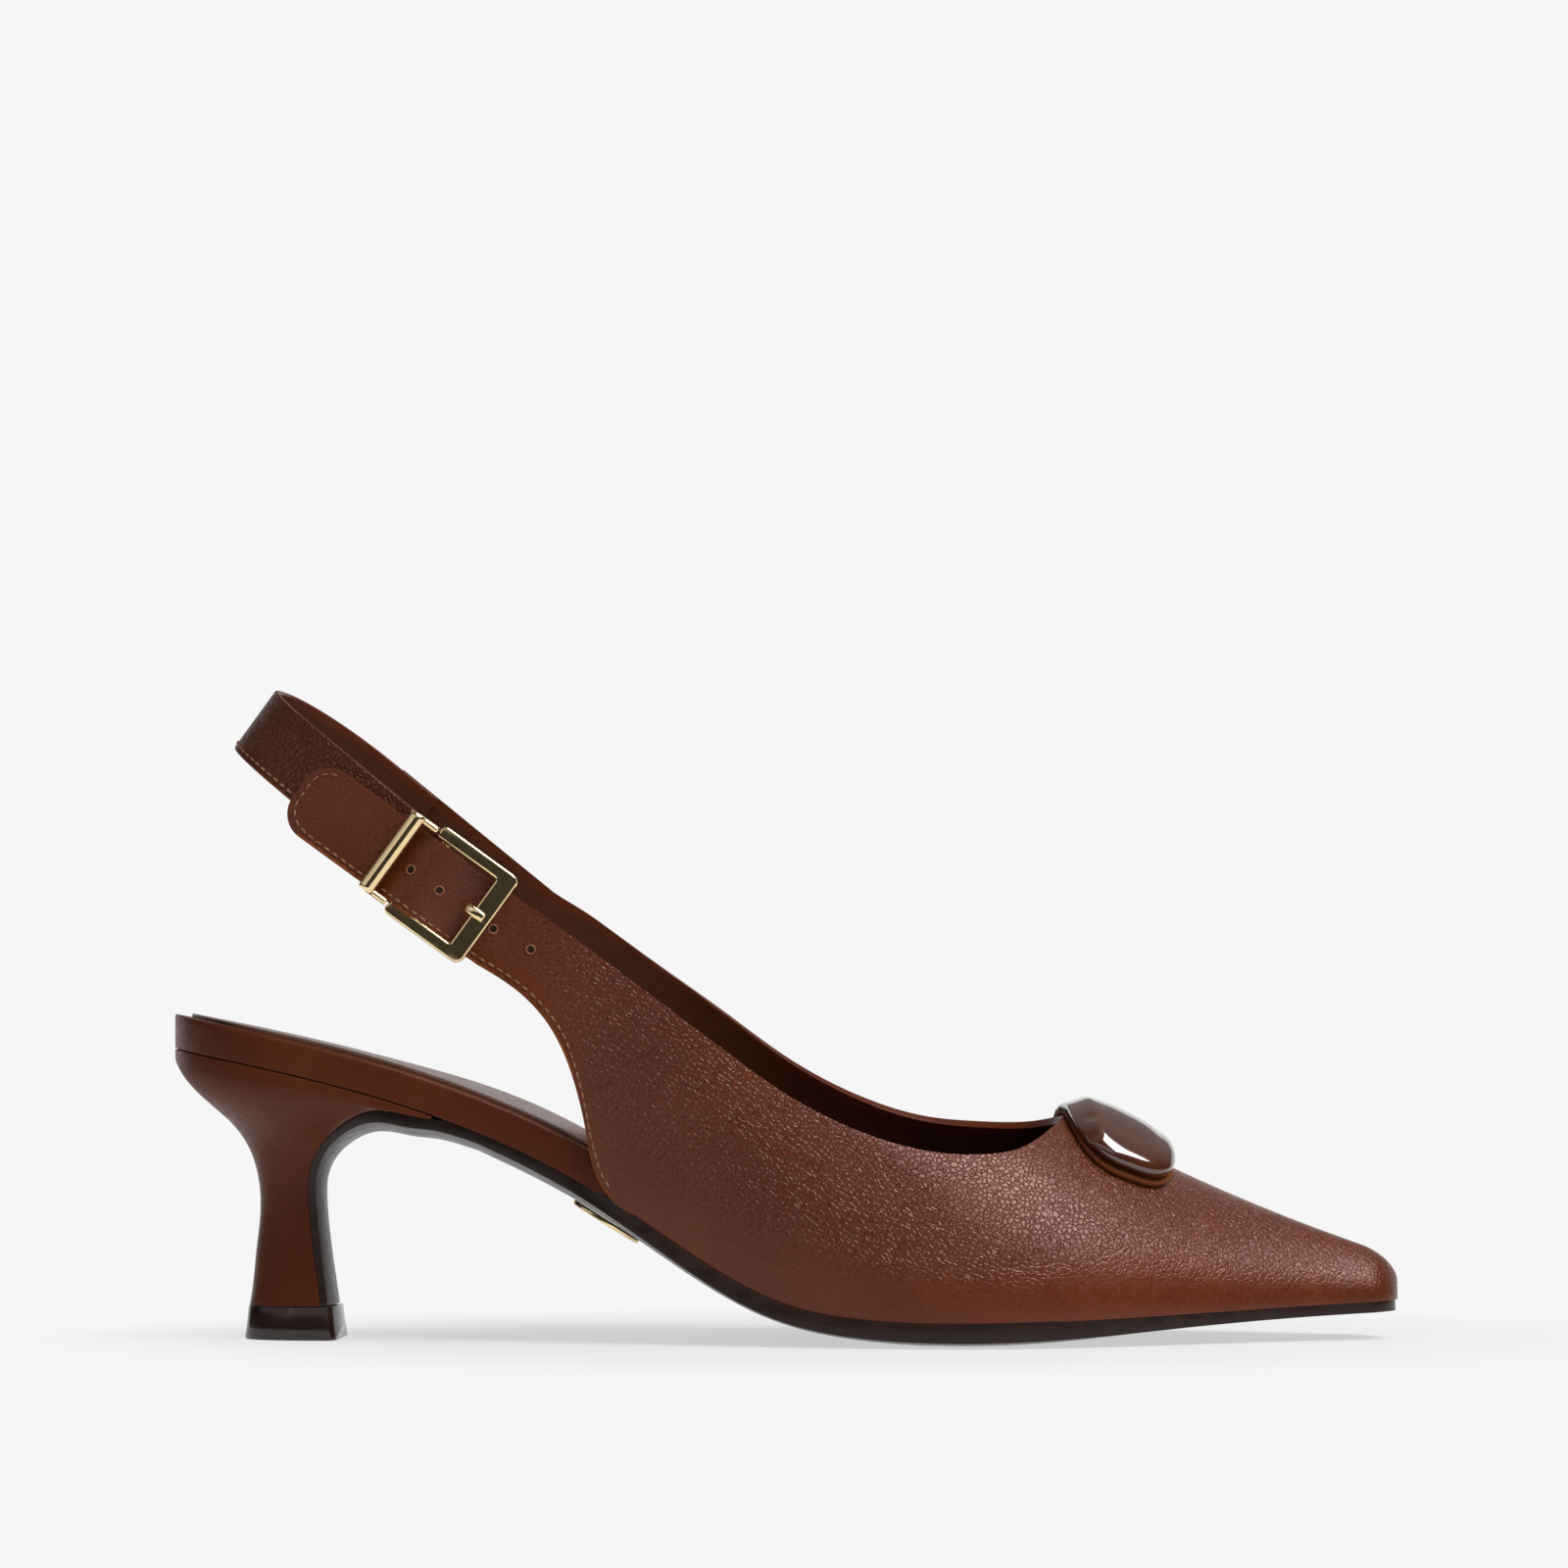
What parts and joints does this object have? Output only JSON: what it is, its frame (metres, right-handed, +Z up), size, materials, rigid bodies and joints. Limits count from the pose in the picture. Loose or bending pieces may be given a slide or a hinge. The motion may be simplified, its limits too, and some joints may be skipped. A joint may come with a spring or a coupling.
{
  "type": "slingback pump",
  "caption": "Pointed slingback pump on a flared kitten heel, with an adjustable strap behind the heel, a buckle at the side and a glossy domed ornament on the vamp.",
  "frame": {"origin": "on the floor, at mid length and mid width of the shoe", "axes": "+X to the toe, -Y to the outer side with the buckle, +Z up"},
  "size_m": [0.2559, 0.076, 0.136],
  "materials": {
    "cognac_leather": "satin",
    "strap_leather": "satin",
    "lining_leather": "satin",
    "sole_brown": "satin",
    "pale_gold": "polished",
    "brown_patent": "gloss",
    "raw_leather_edge": "matte"
  },
  "bodies": {
    "root": {"upper": "cognac_leather", "sling_strap": "strap_leather", "insole_board": "cognac_leather", "insole_pad": "lining_leather", "outsole": "sole_brown", "heel": "cognac_leather", "top_lift": "sole_brown", "buckle_frame": "pale_gold", "buckle_bar": "pale_gold", "buckle_keeper": "pale_gold", "buckle_prong": "pale_gold", "ornament": "brown_patent", "ornament_band": "raw_leather_edge", "shank_plaque": "pale_gold"}
  },
  "joints": []
}
